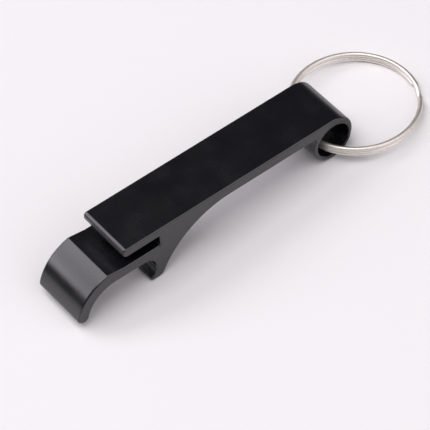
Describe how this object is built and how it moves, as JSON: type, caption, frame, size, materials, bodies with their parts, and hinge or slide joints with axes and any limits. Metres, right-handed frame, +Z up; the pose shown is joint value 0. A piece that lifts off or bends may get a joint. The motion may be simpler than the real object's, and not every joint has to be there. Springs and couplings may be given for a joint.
{
  "type": "keychain bottle opener",
  "caption": "Flat curved-claw bottle opener cut from one extruded profile, with a tab slot, an open jaw and a split ring through its eye.",
  "frame": {"origin": "under the middle of the whole object on the surface that it lies on", "axes": "+X along the handle from the claw to the ring, +Y across the slice, +Z up from the surface"},
  "size_m": [0.0812, 0.0252, 0.0127],
  "materials": {
    "black_anodised": "black anodised, tumbled satin",
    "nickel_wire": "nickel-plated spring steel wire"
  },
  "bodies": {
    "opener": {"opener_body": "black_anodised"},
    "ring": {"split_ring": "nickel_wire"}
  },
  "joints": [
    {"name": "ring_swing", "type": "hinge", "parent": "opener", "child": "ring", "pos_m": [0.01822, 0, 0.00439], "axis": [0, -1, 0], "range_deg": [-175, 165]}
  ]
}
